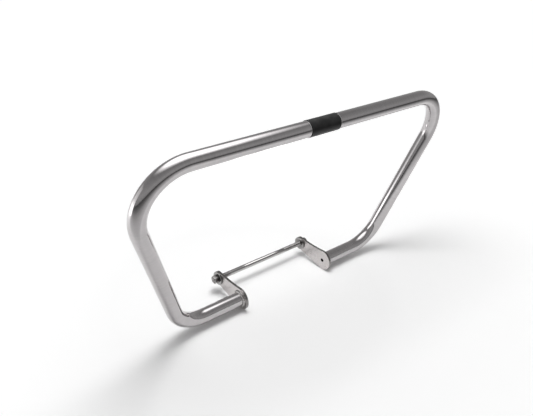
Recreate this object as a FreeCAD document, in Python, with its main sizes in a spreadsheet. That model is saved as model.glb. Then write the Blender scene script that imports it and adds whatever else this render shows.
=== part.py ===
import FreeCAD, Part
import Sketcher
import math
import os

# Crash bars for a motorcycle: one bent tube in an upside-down trapezium, welded at its two feet
# to flat lug plates, and a threaded rod that draws both plates up to the frame's lower mount.
# Millimetres. +X is the rider's right, +Y points to the rear wheel, +Z is up.
# The origin is the middle of the rod's axis. The whole loop leans forward by the rake.

# Driving sizes: each one is written here once, and everything else is worked out from them.
DRIVING = [
    ("tube_dia", 32, "outside diameter of the bent tube"),
    ("tube_wall", 2.5, "wall of the bent tube"),
    ("shoulder_span", 830, "between the two upper corners, where the straight runs would cross"),
    ("foot_span", 556, "between the two lower corners, measured the same way"),
    ("loop_rise", 407, "from the feet's axis up to the top bar's axis, in the plane of the loop"),
    ("shoulder_bend", 91, "centre line radius of the two upper bends"),
    ("foot_bend", 79, "centre line radius of the two lower bends"),
    ("rake", 14, "degrees that the loop leans forward"),
    ("plate_gap", 244, "between the inner faces of the two lug plates"),
    ("plate_thick", 6, "thickness of a lug plate"),
    ("heel_radius", 25, "rounded end of a plate, round the tube"),
    ("toe_radius", 16, "rounded end of a plate, round the rod"),
    ("neck_radius", 400, "hollow upper edge of a plate"),
    ("edge_break", 0.8, "chamfer round both faces of a plate"),
    ("rod_back", 81.6, "how far the rod lies behind the tube's feet, square to the loop"),
    ("rod_drop", 8.7, "how far the rod lies below the tube's feet, along the loop"),
    ("vent_dia", 8, "vent in a plate, on the tube's axis"),
    ("bead_leg", 4, "leg of the weld bead between tube and plate"),
    ("bead_crown", 2.6, "how far the bead's crown stands out from tube and plate alike"),
    ("rod_dia", 12, "diameter of the rod"),
    ("rod_slack", 0.25, "room round the rod in the plates' holes"),
    ("rod_tip", 2, "rod that stands out past each nut"),
    ("tip_chamfer", 1.5, "chamfer on the rod's two ends"),
    ("nut_flats", 18, "nut, across its flats"),
    ("nut_height", 10.8, "height of a nut"),
    ("nut_rise", 1.1, "how far a nut's corners are turned back at each end"),
    ("washer_dia", 32, "outside diameter of a washer"),
    ("washer_thick", 3, "thickness of a washer"),
    ("washer_slack", 0.5, "room round the rod in a washer"),
    ("washer_chamfer", 0.5, "chamfer on a washer's rims"),
    ("sleeve_length", 76, "length of the sleeve on the middle of the top bar"),
    ("sleeve_wall", 0.75, "wall of the sleeve"),
    ("sleeve_slack", 0.05, "room between the top bar and the sleeve"),
    ("sleeve_chamfer", 0.5, "chamfer on the sleeve's two ends"),
]
# Sizes that follow from the ones above.
DERIVED = [
    ("tube_radius", "=tube_dia / 2", "outer radius of the tube"),
    ("tube_bore", "=tube_dia / 2 - tube_wall", "inner radius of the tube"),
    ("inner_face", "=plate_gap / 2", "from the middle to a plate's inner face"),
    ("outer_face", "=plate_gap / 2 + plate_thick", "from the middle to a plate's outer face"),
    ("rod_radius", "=rod_dia / 2", "radius of the rod"),
    ("rod_hole", "=rod_dia / 2 + rod_slack", "radius of a plate's hole for the rod"),
    ("left_seat", "=outer_face + washer_thick", "from the middle to the left nut's seat"),
    ("left_end", "=left_seat + nut_height + rod_tip", "from the middle to the rod's left end"),
    ("right_end", "=outer_face + nut_height + rod_tip", "from the middle to the rod's right end"),
    ("nut_corner", "=nut_flats / 2 / cos(30)", "from a nut's axis to its corners"),
    ("washer_hole", "=rod_dia / 2 + washer_slack", "inner radius of a washer"),
    ("washer_radius", "=washer_dia / 2", "outer radius of a washer"),
    ("sleeve_bore", "=tube_dia / 2 + sleeve_slack", "inner radius of the sleeve"),
    ("sleeve_radius", "=sleeve_bore + sleeve_wall", "outer radius of the sleeve"),
]

# A sketch's numbers for the two ends and the middle of a line or an arc, and for its own axes.
START, END, CENTRE = range(1, 4)
UP_AXIS, ACROSS_AXIS = range(-2, 0)
ORIGIN = (ACROSS_AXIS, START)
OUT_OF_SKETCH = FreeCAD.Vector(0, 0, 1)

doc = FreeCAD.newDocument("crash_bars")
sheet = doc.addObject("Spreadsheet::Sheet", "Sizes")
for row, (alias, content, meaning) in enumerate(DRIVING + DERIVED, start=1):
    sheet.set(f"A{row}", meaning)
    sheet.set(f"B{row}", str(content))
    sheet.setAlias(f"B{row}", alias)
doc.recompute()


def worked_out(formula):
    """Return a formula's value as a plain number."""
    return float(sheet.evalExpression(formula))


def size(alias):
    """Return one size from the sheet as a plain number."""
    return worked_out(f"Sizes.{alias}")


def point(across, up):
    """Return a point of a sketch."""
    return FreeCAD.Vector(across, up, 0)


def new_body(name):
    """Start a sub-part of its own, under its own label."""
    body = doc.addObject("PartDesign::Body", name)
    body.Label = name
    return body


def new_sketch(body, name, role):
    """Lay a sketch on one of the body's own origin planes, such as YZ_Plane."""
    sketch = body.newObject("Sketcher::SketchObject", name)
    plane = next(item for item in body.Origin.OriginFeatures if item.Role == role)
    sketch.AttachmentSupport = [(plane, "")]
    sketch.MapMode = "FlatFace"
    return sketch


def line(sketch, first, last):
    """Draw a straight line and return its number."""
    return sketch.addGeometry(Part.LineSegment(first, last), False)


def circle(sketch, centre, radius):
    """Draw a circle and return its number."""
    return sketch.addGeometry(Part.Circle(centre, OUT_OF_SKETCH, radius), False)


def arc(sketch, centre, radius, first_angle, last_angle):
    """Draw an arc, anticlockwise from the first angle, and return its number."""
    whole = Part.Circle(centre, OUT_OF_SKETCH, radius)
    return sketch.addGeometry(Part.ArcOfCircle(whole, first_angle, last_angle), False)


def hold(sketch, *constraint):
    """Add a constraint that has no size of its own, such as Tangent."""
    return sketch.addConstraint(Sketcher.Constraint(*constraint))


def dimension(sketch, name, formula, kind, *spots):
    """Add a named dimension to a sketch and bind it to the sheet."""
    index = sketch.addConstraint(Sketcher.Constraint(kind, *spots, worked_out(formula)))
    sketch.renameConstraint(index, name)
    sketch.setExpression(f"Constraints.{name}", formula)


def seat(body, along, back="0", up="0"):
    """Place a body by its distances from the middle of the rod, turned with the loop's rake."""
    body.Placement.Rotation = FreeCAD.Rotation(FreeCAD.Vector(1, 0, 0), size("rake"))
    body.setExpression("Placement.Rotation.Angle", "Sizes.rake")
    body.setExpression("Placement.Base.x", along)
    body.setExpression("Placement.Base.y", f"({back}) * cos(Sizes.rake) - ({up}) * sin(Sizes.rake)")
    body.setExpression("Placement.Base.z", f"({back}) * sin(Sizes.rake) + ({up}) * cos(Sizes.rake)")
    return body


# The tube's feet lie in front of the rod and above it.
FEET = ("-Sizes.rod_back", "Sizes.rod_drop")


def tube_centre_line(body):
    """Draw the loop's centre line in the XZ plane, with the feet's axis on the sketch's own axis."""
    spine = new_sketch(body, "tube_centre_line", "XZ_Plane")
    foot, shoulder, rise = size("foot_span") / 2, size("shoulder_span") / 2, size("loop_rise")
    low, high = size("foot_bend"), size("shoulder_bend")
    lean = math.atan2(rise, shoulder - foot)
    leg_way = point(math.cos(lean), math.sin(lean))
    # A bend takes this much of each straight run beside it.
    low_cut = low * math.tan(lean / 2)
    high_cut = high * math.tan((math.pi - lean) / 2)
    low_corner, high_corner = point(foot, 0), point(shoulder, rise)
    stub_end = low_corner - point(low_cut, 0)
    leg_foot, leg_top = low_corner + leg_way * low_cut, high_corner - leg_way * high_cut
    bar_end = high_corner - point(high_cut, 0)
    low_centre, high_centre = stub_end + point(0, low), bar_end - point(0, high)

    def left(spot):
        return point(-spot.x, spot.y)

    # The runs and bends in order, from the right plate up, over the bar and down to the left plate.
    stub = line(spine, point(size("outer_face"), 0), stub_end)
    low_bend = arc(spine, low_centre, low, -math.pi / 2, lean - math.pi / 2)
    leg = line(spine, leg_foot, leg_top)
    high_bend = arc(spine, high_centre, high, lean - math.pi / 2, math.pi / 2)
    bar = line(spine, bar_end, left(bar_end))
    high_bend_left = arc(spine, left(high_centre), high, math.pi / 2, 1.5 * math.pi - lean)
    leg_left = line(spine, left(leg_top), left(leg_foot))
    low_bend_left = arc(spine, left(low_centre), low, 1.5 * math.pi - lean, 1.5 * math.pi)
    stub_left = line(spine, left(stub_end), point(-size("outer_face"), 0))
    pieces = [stub, low_bend, leg, high_bend, bar, high_bend_left, leg_left, low_bend_left, stub_left]
    for piece, following in zip(pieces, pieces[1:]):
        hold(spine, "Tangent", piece, END, following, START)
    hold(spine, "Horizontal", stub)
    hold(spine, "Horizontal", stub_left)
    hold(spine, "PointOnObject", stub, START, ACROSS_AXIS)
    hold(spine, "Symmetric", stub, START, stub_left, END, UP_AXIS)
    hold(spine, "Symmetric", bar, START, bar, END, UP_AXIS)
    hold(spine, "Equal", low_bend, low_bend_left)
    hold(spine, "Equal", high_bend, high_bend_left)
    hold(spine, "Equal", leg, leg_left)
    # Each corner point lies on both of its runs, as on a tube bender's drawing.
    corner = spine.addGeometry(Part.Point(low_corner), True)
    upper_corner = spine.addGeometry(Part.Point(high_corner), True)
    for spot, first, second in ((corner, stub, leg), (upper_corner, leg, bar)):
        hold(spine, "PointOnObject", spot, START, first)
        hold(spine, "PointOnObject", spot, START, second)
    dimension(spine, "stub_start", "Sizes.outer_face", "DistanceX", *ORIGIN, stub, START)
    dimension(spine, "low_corner", "Sizes.foot_span / 2", "DistanceX", *ORIGIN, corner, START)
    dimension(spine, "high_corner", "Sizes.shoulder_span / 2", "DistanceX", *ORIGIN, upper_corner, START)
    dimension(spine, "rise", "Sizes.loop_rise", "DistanceY", *ORIGIN, upper_corner, START)
    dimension(spine, "low_radius", "Sizes.foot_bend", "Radius", low_bend)
    dimension(spine, "high_radius", "Sizes.shoulder_bend", "Radius", high_bend)
    return spine, [f"Edge{number + 1}" for number in pieces]


def loop_tube():
    """The bent tube: a ring carried along the whole centre line in one piece."""
    body = new_body("loop_tube")
    spine, edges = tube_centre_line(body)
    # The section stands square to the stub, on the right plate's outer face.
    section = new_sketch(body, "tube_section", "YZ_Plane")
    section.AttachmentOffset = FreeCAD.Placement(FreeCAD.Vector(0, 0, size("outer_face")), FreeCAD.Rotation())
    section.setExpression("AttachmentOffset.Base.z", "Sizes.outer_face")
    for alias in ("tube_radius", "tube_bore"):
        ring = circle(section, point(0, 0), size(alias))
        hold(section, "Coincident", ring, CENTRE, *ORIGIN)
        dimension(section, alias, f"Sizes.{alias}", "Radius", ring)
    doc.recompute()
    pipe = body.newObject("PartDesign::AdditivePipe", "bent_tube")
    pipe.Profile = section
    pipe.Spine = (spine, edges)
    return seat(body, "0", *FEET)


def plate_outline(body, name):
    """Draw a plate: heel and toe arcs, a straight lower edge and a hollow upper one."""
    outline = new_sketch(body, f"{name}_outline", "YZ_Plane")
    heel, toe, neck = size("heel_radius"), size("toe_radius"), size("neck_radius")
    heel_spot, toe_spot = point(-size("rod_back"), size("rod_drop")), point(0, 0)
    reach = (toe_spot - heel_spot).Length
    way = (toe_spot - heel_spot) / reach
    square = point(-way.y, way.x)
    # The hollow edge's centre lies above the plate, one neck radius clear of heel and toe.
    along = ((heel + neck) ** 2 - (toe + neck) ** 2 + reach**2) / (2 * reach)
    above = math.sqrt((heel + neck) ** 2 - along**2)
    neck_spot = heel_spot + way * along + square * above
    heel_angle = math.atan2(heel_spot.y - neck_spot.y, heel_spot.x - neck_spot.x)
    toe_angle = math.atan2(toe_spot.y - neck_spot.y, toe_spot.x - neck_spot.x)
    # The straight lower edge touches heel and toe at this angle.
    under = math.atan2(way.y, way.x) - math.acos((heel - toe) / reach)
    touch = point(math.cos(under), math.sin(under))

    heel_arc = arc(outline, heel_spot, heel, heel_angle + math.pi, under + 2 * math.pi)
    lower_edge = line(outline, heel_spot + touch * heel, toe_spot + touch * toe)
    toe_arc = arc(outline, toe_spot, toe, under, toe_angle + math.pi)
    neck_arc = arc(outline, neck_spot, neck, heel_angle, toe_angle)
    hold(outline, "Tangent", heel_arc, END, lower_edge, START)
    hold(outline, "Tangent", lower_edge, END, toe_arc, START)
    hold(outline, "Tangent", toe_arc, END, neck_arc, END)
    hold(outline, "Tangent", neck_arc, START, heel_arc, START)
    hold(outline, "Coincident", toe_arc, CENTRE, *ORIGIN)
    dimension(outline, "back", "-Sizes.rod_back", "DistanceX", *ORIGIN, heel_arc, CENTRE)
    dimension(outline, "drop", "Sizes.rod_drop", "DistanceY", *ORIGIN, heel_arc, CENTRE)
    dimension(outline, "heel", "Sizes.heel_radius", "Radius", heel_arc)
    dimension(outline, "toe", "Sizes.toe_radius", "Radius", toe_arc)
    dimension(outline, "neck", "Sizes.neck_radius", "Radius", neck_arc)
    return outline


def cut_through(body, profile, blank):
    """Cut a sketch's shapes right through the blank, and make sure that something was cut."""
    doc.recompute()
    cut = body.newObject("PartDesign::Pocket", f"{profile.Name}_cut")
    cut.Profile = profile
    cut.Type = "ThroughAll"
    cut.Midplane = True
    doc.recompute()
    if cut.Shape.Volume >= blank.Shape.Volume:
        raise RuntimeError(f"{profile.Name} cut nothing")


def rim_edges(shape):
    """Name the edges of a flat blank that run round its two faces."""
    box = shape.BoundBox
    names = []
    for number, edge in enumerate(shape.Edges, start=1):
        if edge.BoundBox.XLength < box.XLength / 2:
            names.append(f"Edge{number}")
    return names


def lug_plate(name, along):
    """A flat plate with a big heel for the tube, a small toe for the rod, and two holes."""
    body = new_body(name)
    outline = plate_outline(body, name)
    doc.recompute()
    blank = body.newObject("PartDesign::Pad", f"{name}_blank")
    blank.Profile = outline
    blank.setExpression("Length", "Sizes.plate_thick")
    doc.recompute()
    rim = body.newObject("PartDesign::Chamfer", f"{name}_rim")
    rim.Base = (blank, rim_edges(blank.Shape))
    rim.setExpression("Size", "Sizes.edge_break")
    doc.recompute()
    holes = new_sketch(body, f"{name}_holes", "YZ_Plane")
    rod_hole = circle(holes, point(0, 0), size("rod_hole"))
    vent = circle(holes, point(-size("rod_back"), size("rod_drop")), size("vent_dia") / 2)
    hold(holes, "Coincident", rod_hole, CENTRE, *ORIGIN)
    dimension(holes, "rod_hole", "Sizes.rod_hole", "Radius", rod_hole)
    dimension(holes, "vent_back", "-Sizes.rod_back", "DistanceX", *ORIGIN, vent, CENTRE)
    dimension(holes, "vent_up", "Sizes.rod_drop", "DistanceY", *ORIGIN, vent, CENTRE)
    dimension(holes, "vent_radius", "Sizes.vent_dia / 2", "Radius", vent)
    cut_through(body, holes, rim)
    return seat(body, along)


def revolve(body, section):
    """Turn a half section right round the body's own X axis."""
    doc.recompute()
    turn = body.newObject("PartDesign::Revolution", f"{section.Name}_turned")
    turn.Profile = section
    turn.ReferenceAxis = (section, ["H_Axis"])
    turn.Angle = 360
    doc.recompute()


def turned(name, corners):
    """A piece turned about its own X axis, from the corners of its half section.

    Each corner is its distance along the axis and its distance from the axis, as formulas.
    """
    body = new_body(name)
    section = new_sketch(body, f"{name}_section", "XZ_Plane")
    spots = [point(worked_out(across), worked_out(out)) for across, out in corners]
    following = [*range(1, len(corners)), 0]
    for number, after in enumerate(following):
        line(section, spots[number], spots[after])
    for number, after in enumerate(following):
        hold(section, "Coincident", number, END, after, START)
    for number, (across, out) in enumerate(corners):
        if across == "0":
            hold(section, "PointOnObject", number, START, UP_AXIS)
        else:
            dimension(section, f"across_{number}", across, "DistanceX", *ORIGIN, number, START)
        if out == "0":
            hold(section, "PointOnObject", number, START, ACROSS_AXIS)
        else:
            dimension(section, f"out_{number}", out, "DistanceY", *ORIGIN, number, START)
    revolve(body, section)
    return body


def ring(name, length, inner, outer, chamfer):
    """A plain ring with both outer rims chamfered."""
    return turned(name, [
        ("0", inner),
        ("0", f"{outer} - {chamfer}"),
        (chamfer, outer),
        (f"{length} - {chamfer}", outer),
        (length, f"{outer} - {chamfer}"),
        (length, inner),
    ])


def weld_bead(name, side):
    """The bead right round the tube where it meets a plate. Side is 1 on the right, -1 on the left."""
    return turned(name, [
        ("0", "Sizes.tube_radius"),
        (f"{side} * Sizes.bead_leg", "Sizes.tube_radius"),
        (f"{side} * Sizes.bead_crown", "Sizes.tube_radius + Sizes.bead_crown"),
        ("0", "Sizes.tube_radius + Sizes.bead_leg"),
    ])


def hex_nut(name):
    """A hexagon nut: a turned blank with its corners turned back, then six flats cut on it."""
    rim = "(Sizes.nut_corner - Sizes.nut_rise / tan(30))"
    body = turned(name, [
        ("0", "Sizes.rod_radius"),
        ("0", rim),
        ("Sizes.nut_rise", "Sizes.nut_corner"),
        ("Sizes.nut_height - Sizes.nut_rise", "Sizes.nut_corner"),
        ("Sizes.nut_height", rim),
        ("Sizes.nut_height", "Sizes.rod_radius"),
    ])
    flats = new_sketch(body, f"{name}_flats", "YZ_Plane")
    corner = size("nut_corner")
    spots = [point(corner * math.cos(turn), corner * math.sin(turn)) for turn in
             [math.radians(30 + 60 * number) for number in range(6)]]
    following = [1, 2, 3, 4, 5, 0]
    for number, after in enumerate(following):
        line(flats, spots[number], spots[after])
    for number, after in enumerate(following):
        hold(flats, "Coincident", number, END, after, START)
    guide = flats.addGeometry(Part.Circle(point(0, 0), OUT_OF_SKETCH, corner), True)
    hold(flats, "Coincident", guide, CENTRE, *ORIGIN)
    for number in range(6):
        hold(flats, "PointOnObject", number, START, guide)
    for number in range(5):
        hold(flats, "Equal", number, number + 1)
    # The first corner lies at 30 degrees, so this side of the hexagon is upright.
    hold(flats, "Vertical", 5)
    dimension(flats, "corner", "Sizes.nut_corner", "Radius", guide)
    outside = circle(flats, point(0, 0), 2 * corner)
    hold(flats, "Coincident", outside, CENTRE, *ORIGIN)
    dimension(flats, "outside", "2 * Sizes.nut_corner", "Radius", outside)
    cut_through(body, flats, body.Tip)
    return body


def through_rod():
    """The rod that draws the plates together, chamfered at both ends."""
    body = turned("through_rod", [
        ("-Sizes.left_end", "0"),
        ("-Sizes.left_end", "Sizes.rod_radius - Sizes.tip_chamfer"),
        ("-Sizes.left_end + Sizes.tip_chamfer", "Sizes.rod_radius"),
        ("Sizes.right_end - Sizes.tip_chamfer", "Sizes.rod_radius"),
        ("Sizes.right_end", "Sizes.rod_radius - Sizes.tip_chamfer"),
        ("Sizes.right_end", "0"),
    ])
    return seat(body, "0")


def washer(name, along):
    """A flat washer on the rod."""
    body = ring(name, "Sizes.washer_thick", "Sizes.washer_hole", "Sizes.washer_radius",
                "Sizes.washer_chamfer")
    return seat(body, along)


def centre_sleeve():
    """The black sleeve on the middle of the top bar."""
    body = ring("centre_sleeve", "Sizes.sleeve_length", "Sizes.sleeve_bore", "Sizes.sleeve_radius",
                "Sizes.sleeve_chamfer")
    return seat(body, "-Sizes.sleeve_length / 2", FEET[0], f"{FEET[1]} + Sizes.loop_rise")


pieces = [
    loop_tube(),
    lug_plate("left_lug_plate", "-Sizes.outer_face"),
    lug_plate("right_lug_plate", "Sizes.inner_face"),
    seat(weld_bead("left_weld_bead", -1), "-Sizes.outer_face", *FEET),
    seat(weld_bead("right_weld_bead", 1), "Sizes.outer_face", *FEET),
    through_rod(),
    washer("left_washer", "-Sizes.outer_face - Sizes.washer_thick"),
    washer("right_washer", "Sizes.inner_face - Sizes.washer_thick"),
    seat(hex_nut("left_nut"), "-Sizes.left_seat - Sizes.nut_height"),
    seat(hex_nut("right_nut"), "Sizes.outer_face"),
    centre_sleeve(),
]
doc.recompute()

for item in doc.Objects:
    if "Invalid" in item.State or "Error" in item.State:
        raise RuntimeError(f"{item.Name} did not build: {item.State}")
for piece in pieces:
    if piece.Shape.isNull() or not piece.Shape.isValid() or len(piece.Shape.Solids) != 1:
        raise RuntimeError(f"{piece.Label} is not one valid solid")

os.makedirs("parts", exist_ok=True)
for piece in pieces:
    piece.Shape.exportStep(f"parts/{piece.Label}.step")
    box = piece.Shape.BoundBox
    print(f"{piece.Label}: {piece.Shape.Volume / 1000:.2f} cm3, x {box.XMin:.1f} to {box.XMax:.1f}")
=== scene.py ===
# %% [markdown]
# # Crash bars for a motorcycle
#
# A polished steel tube is bent into an upside-down trapezium and welded to two lug plates. A rod
# through the plates holds it to the foot of the motorcycle's frame, and a clamp grips the black
# sleeve in the middle of the top bar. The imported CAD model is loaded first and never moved. Every
# piece here is worked out anew as a surface, finer than its CAD solid, and stays where that is.

# %% Load the frame
from math import acos, atan2, cos, degrees, pi, radians, sin, sqrt, tan

import bmesh
import bpy
import numpy as np
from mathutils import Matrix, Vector


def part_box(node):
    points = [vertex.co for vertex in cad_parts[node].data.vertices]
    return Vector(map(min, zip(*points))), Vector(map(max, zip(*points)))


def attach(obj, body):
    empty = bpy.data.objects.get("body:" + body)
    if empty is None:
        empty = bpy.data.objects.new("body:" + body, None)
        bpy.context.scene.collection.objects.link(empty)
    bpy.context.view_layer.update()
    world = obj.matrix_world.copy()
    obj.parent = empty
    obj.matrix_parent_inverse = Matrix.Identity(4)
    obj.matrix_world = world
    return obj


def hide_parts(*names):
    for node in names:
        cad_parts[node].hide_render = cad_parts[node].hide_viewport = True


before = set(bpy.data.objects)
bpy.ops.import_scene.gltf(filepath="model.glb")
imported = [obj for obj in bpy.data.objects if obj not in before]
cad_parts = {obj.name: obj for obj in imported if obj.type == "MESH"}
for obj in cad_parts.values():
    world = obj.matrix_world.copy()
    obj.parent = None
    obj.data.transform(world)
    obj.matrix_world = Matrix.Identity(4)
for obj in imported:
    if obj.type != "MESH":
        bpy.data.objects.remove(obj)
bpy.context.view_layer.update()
print("CAD nodes:", ", ".join(sorted(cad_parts)))

# %% [markdown]
# ## Camera
#
# The photograph looks down on the loop from its left front. The camera's place was found from the
# tube's outline: it stands 1.34 m from the middle of the rod and looks down by 26.9 degrees. The
# lens is given for Blender's usual sensor, 36 mm wide, so nothing is shifted or cropped.

# %% Place the camera
CAMERA_PLACE = Vector((-0.704435, -0.888931, 0.714591))
LOOKS_ALONG = Vector((0.55992, 0.69382, -0.45288))
LENS_MM, SENSOR_MM = 37.352, 36.0

camera = bpy.data.objects.new("camera", bpy.data.cameras.new("camera"))
camera.data.lens = LENS_MM
camera.data.sensor_fit = "HORIZONTAL"
camera.data.sensor_width = SENSOR_MM
camera.location = CAMERA_PLACE
camera.rotation_euler = LOOKS_ALONG.to_track_quat("-Z", "Y").to_euler()
bpy.context.scene.collection.objects.link(camera)
bpy.context.scene.camera = camera
print(f"camera looks down {degrees(-np.arcsin(LOOKS_ALONG.normalized().z)):.1f} degrees")

# %% [markdown]
# ## One way to make every piece
#
# Each piece is one or more sheets. A sheet is a grid of points with rows and columns, and either
# direction may close on itself: a ring closes one way, a hollow ring both ways. Sheets that share
# an edge are worked out from the same numbers, so merging doubles closes the piece, and a row of
# equal points closes to a pole. The normals are then turned outwards. Modelling by hand would do
# too, but here every point follows from a measure that can be read and changed.

# %% From a grid to a mesh
MM = 0.001
MERGE = 1e-7  # points nearer than this are one point


def grid_faces(rows, columns, close_rows, close_columns, first):
    """The four corners of each cell of a grid whose points are counted row by row from `first`."""
    row = np.arange(rows if close_rows else rows - 1)[:, None]
    column = np.arange(columns if close_columns else columns - 1)[None, :]
    next_row, next_column = (row + 1) % rows, (column + 1) % columns
    corners = [row * columns + column, row * columns + next_column,
               next_row * columns + next_column, next_row * columns + column]
    return first + np.stack(np.broadcast_arrays(*corners), -1).reshape(-1, 4)


def make_piece(name, sheets, node, marks=None):
    """A mesh from sheets of (points in mm, rows close, columns close), which rides on the body and
    replaces its node. marks maps the name of a point attribute to one array per sheet."""
    points, faces, first = [], [], 0
    for sheet, close_rows, close_columns in sheets:
        rows, columns = sheet.shape[:2]
        points.append(sheet.reshape(-1, 3) * MM)
        faces.append(grid_faces(rows, columns, close_rows, close_columns, first))
        first += rows * columns
    mesh = bpy.data.meshes.new(name)
    mesh.from_pydata(np.concatenate(points).tolist(), [], np.concatenate(faces).tolist())
    for mark, arrays in (marks or {}).items():
        values = np.concatenate([array.reshape(array.shape[0] * array.shape[1], -1)
                                 for array in arrays]).astype(np.float32)
        kind, key = ("FLOAT", "value") if values.shape[1] == 1 else ("FLOAT_VECTOR", "vector")
        mesh.attributes.new(mark, kind, "POINT").data.foreach_set(key, values.ravel())
    shaped = bmesh.new()
    shaped.from_mesh(mesh)
    bmesh.ops.remove_doubles(shaped, verts=shaped.verts, dist=MERGE)
    bmesh.ops.recalc_face_normals(shaped, faces=shaped.faces)
    loose = sum(1 for edge in shaped.edges if len(edge.link_faces) != 2)
    shaped.to_mesh(mesh)
    shaped.free()
    mesh.polygons.foreach_set("use_smooth", np.ones(len(mesh.polygons), bool))
    piece = bpy.data.objects.new(name, mesh)
    bpy.context.scene.collection.objects.link(piece)
    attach(piece, "root")
    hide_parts(node)
    print(f"{name}: {len(mesh.polygons)} faces, {loose} edges not shared by two faces")
    return piece


# %% [markdown]
# ## The loop's leaning plane
#
# The loop leans 14 degrees forward. Its shape is easier to give in its own plane: x across, b
# behind the rod and u up the loop. One function turns those into X, Y and Z for every piece.

# %% From the loop's plane to the frame
LEAN = radians(14)


def placed(x, b, u):
    """X = x, Y = b cos(lean) - u sin(lean), Z = b sin(lean) + u cos(lean)."""
    x, b, u = np.broadcast_arrays(x, b, u)
    return np.stack([x, b * cos(LEAN) - u * sin(LEAN), b * sin(LEAN) + u * cos(LEAN)], -1)


print("400 mm up the loop lies at", placed(0, 0, 400).round(1).tolist())

# %% [markdown]
# ## The bent tube
#
# On the real guard this is one 32 mm tube on a mandrel bender: straight lengths joined by four
# bends of constant radius. A bezier curve with a bevel would come close, but its bends would not be
# true arcs. Here the centre line is worked out as the bender makes it, from its corner points and
# radii, and a circle is carried along it. The bends lie in one plane, so the circle never twists. A
# bend leaves the tube slightly oval, about one part in a hundred. Each point also keeps its place
# on the straight tube before bending. The polishing marks are drawn on that.

# %% Centre line of straights and arcs
TUBE_BACK = -81.6  # the tube's plane, behind the rod
FOOT_HEIGHT = 8.7  # the feet's axis above the rod
CORNERS = np.array([(-128, 0), (-278, 0), (-415, 407),
                    (415, 407), (278, 0), (128, 0)], float)
BEND_RADII = (79.0, 91.0, 91.0, 79.0)
TUBE_RADIUS, BORE_RADIUS = 16.0, 13.5
BEND_STEP, STRAIGHT_STEP, END_STEP = 3.0, 9.0, 0.4  # between rings
OVAL = 0.008


def centre_line(corners, radii):
    """Points (x, height), sideways normals, lengths along the line and share of bending, for
    straights joined by arcs. An arc of radius R at a corner that turns by angle a starts
    R tan(a / 2) before it. On it the direction turns evenly, and the point is the arc's centre plus
    R times the unit vector towards the outside. Bending = sqrt(sin(pi share of the arc))."""
    directions = np.diff(corners, axis=0)
    lengths = np.linalg.norm(directions, axis=1)
    directions /= lengths[:, None]
    turns = [atan2(a[0] * b[1] - a[1] * b[0], a @ b)
             for a, b in zip(directions[:-1], directions[1:])]
    cuts = [0.0, *(radius * tan(abs(turn) / 2) for radius, turn in zip(radii, turns)), 0.0]
    points, normals, bent = [], [], []
    for i, (start, direction) in enumerate(zip(corners[:-1], directions)):
        first, last = cuts[i], lengths[i] - cuts[i + 1]
        steps = np.linspace(first, last, 1 + int(np.ceil((last - first) / STRAIGHT_STEP)))
        if i == 0:
            steps = np.insert(steps, 1, first + END_STEP)
        if i == len(directions) - 1:
            steps = np.insert(steps, -1, last - END_STEP)
        left = np.array([-direction[1], direction[0]])
        points.append(start + steps[:, None] * direction)
        normals.append(np.repeat(left[None], len(steps), 0))
        bent.append(np.zeros(len(steps)))
        if i < len(turns):
            side = 1 if turns[i] > 0 else -1
            rings = 1 + int(np.ceil(radii[i] * abs(turns[i]) / BEND_STEP))
            share = np.linspace(0, 1, rings)[1:-1]
            angle = turns[i] * share[:, None]
            turned = left * np.cos(angle) - direction * np.sin(angle)
            centre = start + last * direction + side * radii[i] * left
            points.append(centre - side * radii[i] * turned)
            normals.append(turned)
            bent.append(np.sin(pi * share) ** 0.5)
    points, normals, bent = map(np.concatenate, (points, normals, bent))
    steps = np.linalg.norm(np.diff(points, axis=0), axis=1)
    along = np.concatenate([[0], np.cumsum(steps)])
    return points, normals, along, bent


line_points, line_normals, line_along, line_bent = centre_line(CORNERS, BEND_RADII)
print(f"tube: {len(line_points)} rings on a centre line {line_along[-1]:.0f} mm long")

# %% Carry the tube's ring along it
TUBE_COLUMNS = 96


def around(count):
    """Angles of `count` even steps round a circle, without the last, which repeats the first."""
    return np.arange(count) * 2 * pi / count


def tube_skin(radius):
    """Point = centre + r cos(a) behind + r sin(a) sideways, r = radius (1 + oval bending cos(2 a)),
    so in a bend the tube is wider across its plane. Gives each point's place before bending too."""
    angle = around(TUBE_COLUMNS)[None, :]
    oval = 1 + OVAL * line_bent[:, None] * np.cos(2 * angle)
    across, sideways = radius * oval * np.cos(angle), radius * oval * np.sin(angle)
    skin = placed(line_points[:, :1] + sideways * line_normals[:, :1], TUBE_BACK + across,
                  FOOT_HEIGHT + line_points[:, 1:] + sideways * line_normals[:, 1:])
    along = np.broadcast_to(line_along[:, None], across.shape)
    return skin, np.stack([along, across, sideways], -1) * MM


outer, outer_straight = tube_skin(TUBE_RADIUS)
inner, inner_straight = tube_skin(BORE_RADIUS)
tube = make_piece("tube", [(np.concatenate([outer, inner[::-1]]), True, True)], "loop_tube",
                  {"straight_tube": [np.concatenate([outer_straight, inner_straight[::-1]])]})

# %% [markdown]
# ## The lug plates
#
# Each plate is cut from 6 mm steel: a round heel that closes the tube, a smaller round toe for the
# rod, a straight lower edge and a hollow upper edge. All four meet without a kink, so the outline
# is arcs and a line whose ends are worked out from tangency. The faces are rings of straight lines
# from each hole to the outline, and a rim with a rounded edge joins them. A boolean would give the
# same holes with untidy triangles that shade badly.

# %% Outline of a lug plate
HEEL, HEEL_RADIUS, VENT_RADIUS = np.array([TUBE_BACK, FOOT_HEIGHT]), 25.0, 4.0
TOE, TOE_RADIUS, ROD_HOLE_RADIUS = np.array([0.0, 0.0]), 16.0, 6.25
HOLLOW_RADIUS = 400.0
PLATE_INSIDE, PLATE_OUTSIDE = 122.0, 128.0
EDGE_BREAK = 0.8
HEEL_POINTS, TOE_POINTS, SIDE_POINTS = 72, 60, 24  # on each part of the outline


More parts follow.
